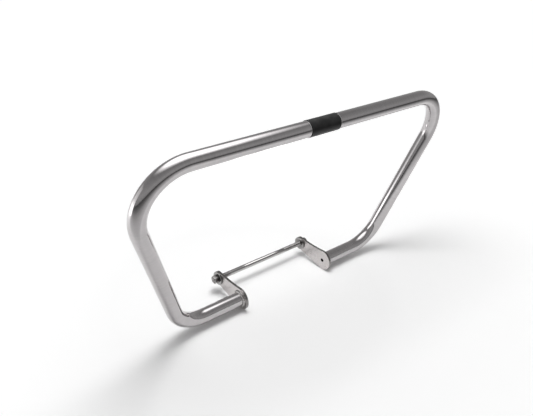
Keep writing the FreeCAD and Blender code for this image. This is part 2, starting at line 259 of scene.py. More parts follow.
def spoke(angle):
    """Unit vectors (b, u) at these angles."""
    return np.stack([np.cos(angle), np.sin(angle)], -1)


def plate_outline():
    """(b, u) points and outward normals, once round, and the indices of the waist's two ends. The
    lower line touches both circles where their normals make acos((R - r) / D) with the line of
    centres. The hollow arc's centre is R + heel from the heel's and R + toe from the toe's."""
    way = TOE - HEEL
    distance, heading = np.linalg.norm(way), atan2(way[1], way[0])
    low = heading - acos((HEEL_RADIUS - TOE_RADIUS) / distance)
    far_heel, far_toe = HOLLOW_RADIUS + HEEL_RADIUS, HOLLOW_RADIUS + TOE_RADIUS
    forward = (far_heel ** 2 - far_toe ** 2 + distance ** 2) / (2 * distance)
    up = sqrt(far_heel ** 2 - forward ** 2)
    centre = HEEL + forward * spoke(heading) + up * spoke(heading + pi / 2)
    heel_top = heading + atan2(up, forward)
    toe_top = heading + atan2(up, forward - distance)
    heel = np.linspace(heel_top, low + 2 * pi, HEEL_POINTS)
    toe = np.linspace(low, toe_top, TOE_POINTS)
    share = np.linspace(0, 1, SIDE_POINTS + 2)[1:-1, None]
    ends = HEEL + HEEL_RADIUS * spoke(low), TOE + TOE_RADIUS * spoke(low)
    hollow = np.linspace(toe_top + pi, heel_top + pi, SIDE_POINTS + 2)[1:-1]
    points = [HEEL + HEEL_RADIUS * spoke(heel), ends[0] + share * (ends[1] - ends[0]),
              TOE + TOE_RADIUS * spoke(toe), centre + HOLLOW_RADIUS * spoke(hollow)]
    normals = [spoke(heel), np.repeat(spoke(low)[None], SIDE_POINTS, 0), spoke(toe), -spoke(hollow)]
    points, normals = np.concatenate(points), np.concatenate(normals)
    return points, normals, HEEL_POINTS + SIDE_POINTS // 2, len(points) - SIDE_POINTS // 2


outline, outline_normals, waist_low, waist_high = plate_outline()
waist_width = np.linalg.norm(outline[waist_low] - outline[waist_high])
print(f"plate outline: {len(outline)} points, waist {waist_width:.1f} mm")

# %% Faces, rim and hole walls of a plate
FACE_SHARES = np.array([0, 0.03, 0.2, 0.45, 0.7, 0.9, 0.98, 1])[:, None, None]
EDGE_ANGLES = np.linspace(0, pi / 2, 5)
WAIST_POINTS = 12
# Hole walls get the mark 2, where the plate's colour gives way to painted shade.
HOLE_SHADE_MARK = 2.0  # on faces the mark "edge" is 0, and on the rim up to 1


def edge_profile(inside, outside, edge):
    """(x, inset) from face to face: a quarter circle, a straight wall and a quarter circle."""
    inset, drop = edge * (1 - np.sin(EDGE_ANGLES)), edge * (1 - np.cos(EDGE_ANGLES))
    return np.concatenate([np.stack([outside - drop, inset], -1),
                           np.stack([inside + drop, inset], -1)[::-1]])


def make_plate(name, node, side):
    """side is 1 for the right plate and -1 for the left. Each half of a face is a ring of straight
    lines from its hole out to the outline and the waist, and the two halves share the waist's
    points. Mark on the rim = sqrt(sin(pi x share of the way from face to face))."""
    inside, outside = side * PLATE_INSIDE, side * PLATE_OUTSIDE
    profile = edge_profile(PLATE_INSIDE, PLATE_OUTSIDE, EDGE_BREAK) * (side, 1)
    rim = outline[None] - profile[:, 1, None, None] * outline_normals[None]
    sheets = [(placed(profile[:, :1], rim[..., 0], rim[..., 1]), False, True)]
    rim_mark = np.sin(np.linspace(0, pi, len(profile)))[:, None] ** 0.5
    marks = [np.broadcast_to(rim_mark, rim.shape[:2])]
    flat = outline - EDGE_BREAK * outline_normals
    share = np.linspace(0, 1, WAIST_POINTS + 2)[1:-1, None]
    cross = flat[waist_low] + share * (flat[waist_high] - flat[waist_low])
    heel_ring = np.concatenate([flat[waist_high:], flat[:waist_low + 1], cross])
    toe_ring = np.concatenate([flat[waist_low:waist_high + 1], cross[::-1]])
    for ring, centre, radius in ((heel_ring, HEEL, VENT_RADIUS),
                                 (toe_ring, TOE, ROD_HOLE_RADIUS)):
        aim = ring - centre
        aim /= np.linalg.norm(aim, axis=1, keepdims=True)
        hole_edge = centre + (radius + EDGE_BREAK / 2) * aim
        face = hole_edge + FACE_SHARES * (ring - hole_edge)
        for x in (inside, outside):
            sheets.append((placed(x, face[..., 0], face[..., 1]), False, True))
            marks.append(np.zeros(face.shape[:2]))
        wall_profile = edge_profile(PLATE_INSIDE, PLATE_OUTSIDE, EDGE_BREAK / 2) * (side, 1)
        wall = centre + (radius + wall_profile[:, 1, None, None]) * aim
        sheets.append((placed(wall_profile[:, :1], wall[..., 0], wall[..., 1]), False, True))
        marks.append(np.full(wall.shape[:2], HOLE_SHADE_MARK))
    return make_piece(name, sheets, node, {"edge": marks})


plates = [make_plate("left_plate", "left_lug_plate", -1),
          make_plate("right_plate", "right_lug_plate", 1)]

# %% [markdown]
# ## The weld beads
#
# The tube's feet are welded all round to the plates' outer faces. A welder moves on one step at a
# time, and each puddle freezes as a small scale over the last, so the bead has curved ripples like
# stacked coins. The bead's section is a rounded fillet, a curve |x / leg|^n + |r / leg|^n = 1, and
# the ripples are added along its normal. A bump map would leave them out of the bead's outline.

# %% Rippled fillets round the feet
BEAD_LEG, BEAD_CROWN = 4.0, 2.6
BEAD_POWER = np.log(0.5) / np.log(BEAD_CROWN / BEAD_LEG)
BEAD_SINK = 0.12  # how far its toes melt into tube and plate
RIPPLES, RIPPLE_HEIGHT, RIPPLE_MIDDLE, RIPPLE_CURVE = 58, 0.26, 0.6, 1.8
RIPPLE_STATIONS, SECTION_POINTS = 10, 15
WANDER = [(0.035, 3, 1), (0.03, 7, 2), (0.02, 17, 0)]  # the leg's waves: share, count, start
STOP_HEIGHT, STOP_AT, STOP_WIDTH = 0.35, 4.4, 0.09  # the lump where the welder stopped


def turned_about_x(profile, angles, b=0.0, u=0.0):
    """A profile of (x, radius), or one for each angle a, carried round an axis along X: x,
    b + radius cos(a) and u + radius sin(a)."""
    along, radius = profile[..., 0], profile[..., 1]
    if profile.ndim == 2:
        along, radius = along[None, :], radius[None, :]
    angles = angles[:, None]
    return placed(along, b + radius * np.cos(angles), u + radius * np.sin(angles))


def make_bead(name, node, side):
    """Section angle s from the tube's toe to the plate's, turn t round the tube. Ripple = height x
    (|cos(pi phase)| - middle), phase = ripples x t / (2 pi) + curve x (s - pi / 4)^2, faded out at
    both toes by sqrt(sin(2 s)). The leg itself wanders a little with t."""
    turn = around(RIPPLES * RIPPLE_STATIONS)
    section = np.linspace(0, pi / 2, SECTION_POINTS)[None, :]
    t = turn[:, None]
    leg = BEAD_LEG * sum((share * np.sin(count * t + start) for share, count, start in WANDER), 1)
    stop = STOP_HEIGHT * np.exp(-((t - STOP_AT) / STOP_WIDTH) ** 2)
    phase = RIPPLES * t / (2 * pi) + RIPPLE_CURVE * (section - pi / 4) ** 2
    fade = np.sin(2 * section) ** 0.5
    lift = (RIPPLE_HEIGHT * (np.abs(np.cos(pi * phase)) - RIPPLE_MIDDLE) + stop) * fade
    along, out = (leg * wave ** (2 / BEAD_POWER) + lift * wave - BEAD_SINK
                  for wave in (np.cos(section), np.sin(section)))
    root = np.full((len(turn), 1), -BEAD_SINK)
    along, out = np.concatenate([along, root], 1), np.concatenate([out, root], 1)
    profile = np.stack([side * (PLATE_OUTSIDE + along), TUBE_RADIUS + out], -1)
    skin = turned_about_x(profile, turn, TUBE_BACK, FOOT_HEIGHT)
    hollow = np.concatenate([1 - np.abs(np.cos(pi * phase)) * fade, root * 0], 1)
    return make_piece(name, [(skin, True, True)], node, {"ripple_hollow": [hollow]})


beads = [make_bead("left_bead", "left_weld_bead", -1),
         make_bead("right_bead", "right_weld_bead", 1)]

# %% [markdown]
# ## The through rod
#
# A 12 mm bright steel rod with a rolled M12 thread at each end. A thread is a wave along the rod
# that moves on by one pitch in each turn, so the radius depends on (x / pitch - turn): that one
# line gives a true helix with no curve or screw modifier. The crests lie at the shank's radius, and
# the grooves run out smoothly into the shank.

# %% Rod with two helical threads
ROD_LEFT, ROD_RIGHT, ROD_RADIUS = -143.8, 140.8, 6.0
ROD_UNDERSIZE = 0.03  # drawn bar is never quite its full size
THREAD_PITCH, THREAD_DEPTH = 1.75, 1.0
THREAD_LEFT_END, THREAD_RIGHT_END, RUN_OUT = -96.0, 66.0, 3.5
CREST, FLANK, FLANK_CURVE = 0.14, 0.72, 0.35  # shares of half a pitch, and roundness
TIP_CHAMFER = 1.5
TIP_RINGS = np.array([0.0, 0.55, 0.93])  # shares of the radius on a flat end
ROD_COLUMNS, PITCH_STATIONS, SHANK_STATIONS = 40, 10, 24


def rod_radius(x, turn):
    """Radius = rod - depth x groove x (1 - shank). The groove is a wave with flat crests and roots,
    and shank goes from 0 on a thread to 1 past its end. At the tips a 45 degree cone cuts the
    radius down."""
    phase = np.abs((x / THREAD_PITCH - turn / (2 * pi)) % 1 - 0.5) * 2
    groove = np.clip((phase - CREST) / FLANK, 0, 1)
    groove = groove * groove * (3 - 2 * groove) * FLANK_CURVE + groove * (1 - FLANK_CURVE)
    shank = np.clip(np.minimum(x - THREAD_LEFT_END, THREAD_RIGHT_END - x) / RUN_OUT, -1, 0) + 1
    radius = ROD_RADIUS - ROD_UNDERSIZE - THREAD_DEPTH * groove * (1 - shank)
    cone = ROD_RADIUS - TIP_CHAMFER + np.minimum(x - ROD_LEFT, ROD_RIGHT - x)
    return np.minimum(radius, cone)


def rod_stations():
    """Places along the rod, closely spaced on its threads and wide on its shank."""
    left, right = (np.arange(start, end, THREAD_PITCH / PITCH_STATIONS)
                   for start, end in ((ROD_LEFT, THREAD_LEFT_END + RUN_OUT),
                                      (THREAD_RIGHT_END - RUN_OUT, ROD_RIGHT)))
    shank = np.linspace(left[-1] + 1, right[0] - 1, SHANK_STATIONS)
    return np.concatenate([left, shank, right, [ROD_RIGHT]])


rod_turn, rod_x = around(ROD_COLUMNS), rod_stations()
side_r = rod_radius(rod_x[None, :], rod_turn[:, None])
rod_r = np.concatenate([TIP_RINGS * side_r[:, :1], side_r, TIP_RINGS[::-1] * side_r[:, -1:]], 1)
rod_along = np.concatenate([[ROD_LEFT] * len(TIP_RINGS), rod_x, [ROD_RIGHT] * len(TIP_RINGS)])
rod_skin = turned_about_x(np.stack([np.broadcast_to(rod_along, rod_r.shape), rod_r], -1), rod_turn)
rod = make_piece("rod", [(rod_skin, True, False)], "through_rod",
                 {"groove": [np.clip((ROD_RADIUS - rod_r) / THREAD_DEPTH, 0, 1)]})

# %% [markdown]
# ## Nuts and washers
#
# A nut starts as a hexagon bar and both of its faces are turned to a 30 degree cone, which cuts its
# corners back in the curved line that every nut shows. For each direction the hexagon's reach is
# across / 2 / cos(angle from the middle of the flat), and the cone meets it where reach and cone
# agree, so the crease falls exactly on a row of the grid. A six-sided cylinder with a bevel would
# show flat facets instead of that curved line. The washers are stamped, so one edge is rounder than
# the other.
#
# Corners of a profile are rounded before it is carried round, because a real edge is never sharp
# and its thin bright line is what tells the eye that this is metal. Shade is painted dark where the
# pieces are seated on each other and in the nuts' bores, so each point keeps how near it is.

# %% Corners of a profile
SIDE_SHARE = 0.45  # most of a side that the curve at one of its ends may take


def rounded(corners, cut, steps):
    """Rounds the corners of closed profiles. corners is (..., corner, 2) and cut says how far from
    each corner its curve starts. Each curve is a quadratic Bezier from the side before, past the
    corner, to the side after."""
    before, after = np.roll(corners, 1, -2) - corners, np.roll(corners, -1, -2) - corners
    reach = np.broadcast_to(np.asarray(cut, float), corners.shape[:-1])[..., None]
    sides = [side * np.minimum(reach / np.linalg.norm(side, axis=-1, keepdims=True), SIDE_SHARE)
             for side in (before, after)]
    t = np.linspace(0, 1, steps + 1)[:, None]
    start, end = (corners + sides[0])[..., None, :], (corners + sides[1])[..., None, :]
    curve = (1 - t) ** 2 * start + 2 * t * (1 - t) * corners[..., None, :] + t ** 2 * end
    return curve.reshape(*corners.shape[:-2], -1, 2)


# %% Two hexagon nuts
NUT_ACROSS, NUT_HEIGHT, NUT_BORE = 18.0, 10.8, 6.05
NUT_CONE = radians(30)
NUT_FACE_RADIUS = 8.1  # where the flat end face meets the cone
NUT_THREAD_MOUTH, NUT_ROUNDING, NUT_CURVE = 0.9, 0.16, 3
CORNER_CUT, CORNER_EASE = 0.25, 0.12
NUT_COLUMNS = 6 * 30
FLAT_WEAR = 0.4  # spanner marks on the flats; they are 1 on the corners
# How far the painted shade by seats and bores reaches, in mm
PAINTED_SHADE_REACH = 1.2
WASHER_RADIUS, WASHER_HOLE, WASHER_HEIGHT = 16.0, 6.5, 3.0
LEFT_WASHER_AT, RIGHT_WASHER_AT = -PLATE_OUTSIDE - WASHER_HEIGHT, PLATE_INSIDE - WASHER_HEIGHT


def hexagon_reach(turn):
    """Across / 2 / cos(angle from the middle of the flat). A soft minimum eases the corners:
    -e ln(exp(-reach / e) + exp(-corner / e))."""
    from_flat = (turn % (pi / 3)) - pi / 6
    reach = NUT_ACROSS / 2 / np.cos(from_flat)
    corner = NUT_ACROSS / 2 / cos(pi / 6) - CORNER_CUT
    return -CORNER_EASE * np.log(np.exp(-reach / CORNER_EASE) + np.exp(-corner / CORNER_EASE))


def painted_shade_at(profile, seat, bore):
    """Painted shade: the largest of exp(-distance / reach) from the seat, given by its x, and from
    the circle that the next piece draws on this one, given by its radius."""
    return np.maximum(*(np.exp(-np.abs(profile[..., axis] - place) / PAINTED_SHADE_REACH)
                        for axis, place in ((0, seat), (1, bore))))


def make_nut(name, node, left_face, seat):
    """Profile per direction: mouth of the bore, turned face, cone, flat, and the same again on the
    other side. left_face is the x of its left end, and seat the x of its seated end."""
    turn = around(NUT_COLUMNS)
    reach = hexagon_reach(turn + pi / 3)
    cut = (reach - NUT_FACE_RADIUS) * tan(NUT_CONE)
    low, high = left_face, left_face + NUT_HEIGHT
    mouth = NUT_BORE + NUT_THREAD_MOUTH
    corners = np.stack([np.stack(np.broadcast_arrays(x, radius + 0 * reach), -1) for x, radius in (
        (low + NUT_THREAD_MOUTH, NUT_BORE), (low, mouth), (low, NUT_FACE_RADIUS),
        (low + cut, reach), (high - cut, reach),
        (high, NUT_FACE_RADIUS), (high, mouth), (high - NUT_THREAD_MOUTH, NUT_BORE))], -2)
    profile = rounded(corners, NUT_ROUNDING, NUT_CURVE)
    past_flat = (reach - NUT_ACROSS / 2) / (reach.max() - NUT_ACROSS / 2)
    on_corner = np.clip(past_flat, 0, 1)[:, None] ** 3
    wear = np.broadcast_to(FLAT_WEAR + (1 - FLAT_WEAR) * on_corner, profile.shape[:2])
    return make_piece(name, [(turned_about_x(profile, turn), True, True)], node,
                      {"wear": [wear], "painted_shade": [painted_shade_at(profile, seat, NUT_BORE)]})


nuts = [make_nut("left_hex_nut", "left_nut", LEFT_WASHER_AT - NUT_HEIGHT, LEFT_WASHER_AT),
        make_nut("right_hex_nut", "right_nut", PLATE_OUTSIDE, PLATE_OUTSIDE)]

# %% Two stamped washers
WASHER_CUTS = (0.3, 0.95, 0.4, 0.3)  # at bore, left edge, right edge and bore
WASHER_RIM, RIM_WEAR = 1.0, 0.2
WASHER_CURVE, WASHER_COLUMNS = 6, 120


def make_washer(name, node, left_face, seat, inner):
    """A square section turned about the rod. The stamping pulls its left edge round and leaves the
    right one crisp. inner is the radius of what stands on it: a nut's flats, or the rod."""
    low, high = left_face, left_face + WASHER_HEIGHT
    corners = np.array([(low, WASHER_HOLE), (low, WASHER_RADIUS),
                        (high, WASHER_RADIUS), (high, WASHER_HOLE)])
    profile = rounded(corners, WASHER_CUTS, WASHER_CURVE)
    on_rim = (profile[:, 1] > WASHER_RADIUS - WASHER_RIM) * RIM_WEAR
    # Wear on the rim, and painted shade near the seat and round what stands on it
    wear, painted_shade = (np.broadcast_to(mark, (WASHER_COLUMNS, len(profile)))
                   for mark in (on_rim, painted_shade_at(profile, seat, inner)))
    return make_piece(name, [(turned_about_x(profile, around(WASHER_COLUMNS)), True, True)], node,
                      {"wear": [wear], "painted_shade": [painted_shade]})


washers = [make_washer("left_flat_washer", "left_washer", LEFT_WASHER_AT, -PLATE_OUTSIDE,
                       NUT_ACROSS / 2),
           make_washer("right_flat_washer", "right_washer", RIGHT_WASHER_AT, PLATE_INSIDE,
                       ROD_RADIUS)]

# %% [markdown]
# ## The sleeve on the top bar
#
# A black vinyl sleeve, under a millimetre thick, is shrunk onto the middle of the bar so that the
# clamp can't mark the polish. Shrinking draws its two ends into a soft raised lip. It is a thin
# hollow ring, closed both ways. A plain cylinder would end in sharp rims, and vinyl has none.

# %% Shrunk sleeve with soft lips
SLEEVE_HALF, SLEEVE_BORE, SLEEVE_RADIUS = 38.0, 16.05, 16.8
SLEEVE_UNDERSIZE = 0.05
LIP = (0.12, 1.6, 1.1)  # height, distance from the end and width
NECK = (0.10, 4.2, 1.6)  # the same for the faint groove behind the lip
END_ROUND, END_SHARE = 0.7, 0.92
WAVE_HEIGHT, WAVES_ROUND, WAVE_TWIST = 0.03, 5, 0.11
SLEEVE_STATIONS, SLEEVE_COLUMNS = 90, 128
BAR_HEIGHT = FOOT_HEIGHT + CORNERS[2, 1]


def swell(distance, height, middle, width):
    """height x exp(-((distance - middle) / width)^2)."""
    return height * np.exp(-((distance - middle) / width) ** 2)


def sleeve_profile():
    """(x, radius) once round the section: outside with a lip and a neck at each end, then bore. The
    ends fall by wall x share x (1 - sqrt(distance from the end / round))."""
    x = np.linspace(-SLEEVE_HALF, SLEEVE_HALF, SLEEVE_STATIONS)
    edge = SLEEVE_HALF - np.abs(x)
    lip = swell(edge, *LIP) - swell(edge, *NECK)
    fall = (SLEEVE_RADIUS - SLEEVE_BORE) * (1 - np.clip(edge / END_ROUND, 0, 1) ** 0.5) * END_SHARE
    outside = SLEEVE_RADIUS - SLEEVE_UNDERSIZE + lip - fall
    bore = np.array([(SLEEVE_HALF, SLEEVE_BORE), (-SLEEVE_HALF, SLEEVE_BORE)])
    return np.concatenate([np.stack([x, outside], -1), bore])


sleeve_turn = around(SLEEVE_COLUMNS)
sleeve_shape = np.repeat(sleeve_profile()[None], SLEEVE_COLUMNS, 0)
outside = sleeve_shape[:, :SLEEVE_STATIONS]
outside[..., 1] += WAVE_HEIGHT * np.sin(WAVES_ROUND * sleeve_turn[:, None]
                                        + outside[..., 0] * WAVE_TWIST)
sleeve_skin = turned_about_x(sleeve_shape, sleeve_turn, TUBE_BACK, BAR_HEIGHT)
sleeve = make_piece("sleeve", [(sleeve_skin, True, True)], "centre_sleeve")

# %% [markdown]
# ## Writing a material as sums
#
# A material is a small formula over the surface. Wiring it by hand hides the formula, so a socket
# is wrapped in a class whose + - * / add the Math nodes. Any other node comes from one method that
# takes its type, its settings and its sockets. Colours go through Mix nodes, because a Math node
# would turn them grey. Noise is counted per metre, and a bump is in metres deep. In each sum the
# first number is the plain value, and the later ones say how far a pattern moves it.

# %% Sockets with arithmetic
def operator(operation, reflected=False):
    """A method that adds one Math node. In a reflected form the other value comes first."""
    def method(self, other):
        return self.maths(operation, *((other, self) if reflected else (self, other)))
    return method


class Wire:
    """One output socket in a node sheet. Arithmetic on it adds Math nodes and gives a new Wire."""

    def __init__(self, sheet, socket):
        self.sheet, self.socket = sheet, socket

    def maths(self, operation, first, second):
        return self.sheet.node("ShaderNodeMath", {"operation": operation}, {0: first, 1: second})

    __add__, __mul__ = operator("ADD"), operator("MULTIPLY")
    __radd__, __rmul__ = __add__, __mul__
    __sub__, __rsub__ = operator("SUBTRACT"), operator("SUBTRACT", True)
    __truediv__, __rtruediv__ = operator("DIVIDE"), operator("DIVIDE", True)
    __pow__, __rpow__ = operator("POWER"), operator("POWER", True)
    at_most, at_least = operator("MINIMUM"), operator("MAXIMUM")


# %% A material's node sheet
def grey(value):
    """A colour with three equal parts."""
    return (value, value, value, 1)


class Sheet:
    """The node sheet of one material, or of the world."""

    def __init__(self, owner):
        owner.use_nodes = True
        self.tree = owner.node_tree
        self.tree.nodes.clear()

    def node(self, kind, settings=None, sockets=None, output=0):
        """Adds a node, applies its settings, sets or links its sockets, and gives one output."""
        made = self.tree.nodes.new(kind)
        for key, value in (settings or {}).items():
            if key == "stops":
                self.set_stops(made.color_ramp.elements, value)
            else:
                setattr(made, key, value)
        for key, value in (sockets or {}).items():
            if isinstance(value, Wire):
                self.tree.links.new(value.socket, made.inputs[key])
            else:
                made.inputs[key].default_value = value
        return Wire(self, made.outputs[output]) if len(made.outputs) else made

    @staticmethod
    def set_stops(elements, stops):
        """Stops are (position, grey) pairs; a ramp starts with two of them."""
        for i, (position, value) in enumerate(stops):
            stop = elements[i] if i < 2 else elements.new(position)
            stop.position, stop.color = position, grey(value)

    def ramp(self, value, stops):
        """Greys that go straight from stop to stop."""
        return self.node("ShaderNodeValToRGB", {"stops": stops}, {0: value})

    def mixed(self, factor, first, second):
        """A colour between two colours."""
        sockets = {0: factor, 6: first, 7: second}
        return self.node("ShaderNodeMix", {"data_type": "RGBA"}, sockets, 2)

    def stretched(self, vector, scale, turn=(0, 0, 0)):
        """Coordinates turned and multiplied, so that a pattern on them is drawn out."""
        return self.node("ShaderNodeMapping", {}, {0: vector, "Rotation": turn, "Scale": scale})

    def noise(self, vector, scale, detail, roughness):
        """A cloudy pattern of about 0 to 1, with its middle at 0.5."""
        sockets = {"Vector": vector, "Scale": scale, "Detail": detail, "Roughness": roughness}
        return self.node("ShaderNodeTexNoise", {}, sockets)

    def bump(self, height, distance, strength=1.0, normal=None):
        """Normals for a height of 0 to 1 that stands for this distance, on top of other normals."""
        sockets = {"Height": height, "Distance": distance, "Strength": strength}
        if normal:
            sockets["Normal"] = normal
        return self.node("ShaderNodeBump", {}, sockets)

    def mark(self, name, output=2):
        """A point attribute of the piece's mesh: output 2 is its number, output 1 its vector."""
        return self.node("ShaderNodeAttribute", {"attribute_name": name}, {}, output)

    def here(self):
        """Object coordinates, in metres."""
        return self.node("ShaderNodeTexCoord", {}, {}, 3)

    def axis(self, vector, number):
        """One of the three parts of a vector."""
        return self.node("ShaderNodeSeparateXYZ", {}, {0: vector}, number)

    def vectors(self, operation, first, second=(0, 0, 0), output=0):
        """Vector maths: output 0 is a vector, output 1 a number."""
        sockets = {0: first, 1: second}
        return self.node("ShaderNodeVectorMath", {"operation": operation}, sockets, output)

    def glow(self, colour, strength=1.0):
        """A shader that gives off light."""
        return self.node("ShaderNodeEmission", {}, {"Color": colour, "Strength": strength})

    def show(self, surface, output="ShaderNodeOutputMaterial"):
        """Links a shader to the output."""
        self.node(output, {}, {"Surface": surface})

    def finish(self, sockets):
        """A Principled surface to the material's output."""
        self.show(self.node("ShaderNodeBsdfPrincipled", {}, sockets))


# %% A new material on some pieces
def new_material(name, *pieces):
    """An empty node sheet for a material that these pieces share."""
    material = bpy.data.materials.new(name)
    for piece in pieces:
        piece.data.materials.clear()
        piece.data.materials.append(material)
    print(f"material {name} on {', '.join(piece.name for piece in pieces)}")
    return Sheet(material)


# %% [markdown]
# ## Polished tube
#
# The tube is stainless steel polished by belts that run round it while it moves along. They leave
# very fine lines across its length, so faint that only highlights show them, and the sheen changes
# slowly where the belt pressed harder. A cloth has wiped faint lines along it as well. Noise on the
# straight tube's coordinates, stretched round the tube or along it, gives the lines. They follow
# each bend because those coordinates were bent with the tube, where lines on Object coordinates
# would cut straight across. Near the welds the heat has left a breath of straw colour. Beside each
# end of the sleeve a thin pale ring is painted on the tube as a highlight.

# %% Tube material
STEEL, BRIGHT_STEEL = (0.485, 0.467, 0.472, 1), (0.550, 0.529, 0.535, 1)
# Straw is a heat tint; the pale grey is a painted highlight ring beside the sleeve's ends
STRAW, PAINTED_HIGHLIGHT_GREY = (0.49, 0.455, 0.43, 1), (0.75, 0.74, 0.74, 1)
TUBE_LENGTH = line_along[-1] * MM
HEAT_REACH, HEAT_EDGE, HEAT_SHARE = 0.010, 0.006, 0.4
PAINTED_HIGHLIGHT_END = (SLEEVE_HALF + 1.0) * MM  # from the middle of the bar
PAINTED_HIGHLIGHT_STOPS, PAINTED_HIGHLIGHT_SHARE = [(0.975, 0), (0.985, 1), (0.998, 1), (1.0, 0)], 0.7
# Counts per metre along the tube, behind it and across it
BELT_MARKS, HAIR_MARKS, WIPE_MARKS = (1500, 60, 60), (240, 18, 18), (9, 700, 700)
BELT_DEPTH, CLOUD_DEPTH = 0.0000045, 0.00006

metal = new_material("polished tube steel", tube)
on_tube = metal.mark("straight_tube", 1)
belt_lines = metal.noise(metal.stretched(on_tube, BELT_MARKS), 1.0, 3.0, 0.6)
hairlines = metal.noise(metal.stretched(on_tube, HAIR_MARKS), 1.0, 4.0, 0.65)
wipe_lines = metal.noise(metal.stretched(on_tube, WIPE_MARKS), 1.0, 3.0, 0.6)
cloud = metal.noise(on_tube, 26.0, 3.0, 0.55)
along_tube = metal.axis(on_tube, 0)
from_weld = along_tube.at_most(TUBE_LENGTH - along_tube)
heat = metal.ramp(from_weld + (cloud - 0.5) * HEAT_EDGE, [(0.0, 1), (HEAT_REACH, 0)]) * HEAT_SHARE
off_middle = metal.node("ShaderNodeMath", {"operation": "ABSOLUTE"},
                        {0: along_tube - TUBE_LENGTH / 2})
# A painted highlight: a thin pale ring, rougher than the steel, on the tube beside each end of the
# sleeve
painted_highlight = metal.ramp(off_middle / PAINTED_HIGHLIGHT_END, PAINTED_HIGHLIGHT_STOPS) * PAINTED_HIGHLIGHT_SHARE
polish = metal.ramp(hairlines * 0.55 + cloud * 0.25 + wipe_lines * 0.2, [(0.35, 0), (0.65, 1)])
clean_steel = metal.mixed(heat, metal.mixed(polish, STEEL, BRIGHT_STEEL), STRAW)
metal.finish({
    "Base Color": metal.mixed(painted_highlight, clean_steel, PAINTED_HIGHLIGHT_GREY),
    "Metallic": 1.0,
    "Roughness": (0.11 + (cloud - 0.5) * 0.08 + (hairlines - 0.5) * 0.12
                  + (wipe_lines - 0.5) * 0.08 + heat * 0.08 + painted_highlight * 0.6),
    "Normal": metal.bump(belt_lines, BELT_DEPTH, 1.0, metal.bump(cloud, CLOUD_DEPTH)),
})

# %% [markdown]
# ## Satin plates
#
# The plates are the same steel, linished on a fine belt before welding: short lines along each
# plate and a broader, softer sheen than the tube's. Their cut edges are a darker grey, and the hole
# walls are painted dark as shade. The lines run along the plate, so a Mapping node turns the Object
# coordinates first. A flat plate needs no map of its own.

# %% Plate material
PLATE_STEEL, PLATE_PATCH = (0.59, 0.562, 0.559, 1), (0.54, 0.510, 0.507, 1)
CUT_EDGE = (0.25, 0.238, 0.235, 1)
# A dark grey painted as shade in the plates' holes and round nuts and washers.
PAINTED_SHADE = (0.05, 0.047, 0.045, 1)  # in the holes, and round nuts and washers
GRAIN_TURN = radians(6) - LEAN  # the line from heel to toe falls by 6 degrees
GRAIN_MARKS = (900, 45, 1900)
GRAIN_DEPTH, SPECKLE_DEPTH = 0.00002, 0.00003

metal = new_material("satin plate steel", *plates)
plate_space = metal.stretched(metal.here(), (1, 1, 1), (GRAIN_TURN, 0, 0))
grain = metal.noise(metal.stretched(plate_space, GRAIN_MARKS), 1.0, 4.0, 0.6)
speckle = metal.noise(metal.here(), 900.0, 2.0, 0.5)
patches = metal.noise(metal.here(), 55.0, 3.0, 0.5)
# The edge mark is up to 1 on the rim, for the darker cut edge, and 2 on hole walls, for painted
# shade.
edge = metal.mark("edge")
face_colour = metal.mixed(patches, PLATE_STEEL, PLATE_PATCH)
metal.finish({
    "Base Color": metal.mixed(edge - 1, metal.mixed(edge, face_colour, CUT_EDGE), PAINTED_SHADE),
    "Metallic": 1.0,
    "Roughness": 0.28 + (patches - 0.5) * 0.12 + (grain - 0.5) * 0.10 - edge * 0.06,
    "Normal": metal.bump(grain, GRAIN_DEPTH, 0.8, metal.bump(speckle, SPECKLE_DEPTH)),
})

# %% [markdown]
# ## Weld metal
#
# A TIG bead stays brighter on its crests and darker between its ripples, where a little oxide is
# left after brushing. The ripple hollows were kept as an attribute when the bead was shaped, so the
# colour sits exactly in them. A noise alone would put it anywhere.

# %% Bead material
WELD_STEEL, WELD_OXIDE = (0.62, 0.603, 0.598, 1), (0.11, 0.103, 0.098, 1)
SOOT_DEPTH = 0.00004

metal = new_material("brushed weld metal", *beads)
hollow = metal.mark("ripple_hollow")
soot = metal.noise(metal.here(), 320.0, 4.0, 0.6)
oxide = (hollow * 0.8 + (soot - 0.5) * 0.8).at_most(1.0).at_least(0.0)
metal.finish({
    "Base Color": metal.mixed(oxide, WELD_STEEL, WELD_OXIDE),
    "Metallic": 1.0,
    "Roughness": 0.11 + oxide * 0.14 + (soot - 0.5) * 0.1,
    "Normal": metal.bump(soot, SOOT_DEPTH, 0.6),
})

# %% [markdown]
# ## Rod, nuts and washers
#
# The rod is drawn through a die, which leaves faint lines along it, and the thread's grooves are
# darker. The nuts and washers are bright stainless with turning marks round their axis: noise that
# varies quickly with radius and hardly at all round it. Their corners are rubbed brighter by
# spanners, and shade is painted dark where they are seated.

# %% Rod material
# The second colour darkens the thread's grooves.
ROD_STEEL, DARK_GROOVE = (0.46, 0.45, 0.448, 1), (0.20, 0.19, 0.185, 1)
DRAW_MARKS, DRAW_DEPTH = (12, 1400, 1400), 0.000004

metal = new_material("drawn rod steel", rod)
draw_lines = metal.noise(metal.stretched(metal.here(), DRAW_MARKS), 1.0, 3.0, 0.6)
mottle = metal.noise(metal.here(), 90.0, 3.0, 0.5)
groove_depth = metal.mark("groove")
metal.finish({
    "Base Color": metal.mixed(groove_depth * 0.7, ROD_STEEL, DARK_GROOVE),
    "Metallic": 1.0,
    "Roughness": 0.12 + (mottle - 0.5) * 0.10 + groove_depth * 0.16,
    "Normal": metal.bump(draw_lines, DRAW_DEPTH, 1.0),
})

# %% Nut and washer material
FASTENER_STEEL, WORN_STEEL = (0.33, 0.323, 0.319, 1), (0.60, 0.59, 0.58, 1)
MARKS_ALONG, MARKS_OUTWARDS = 2600, 3400
TURNING_DEPTH, SMEAR_DEPTH = 0.000004, 0.00003

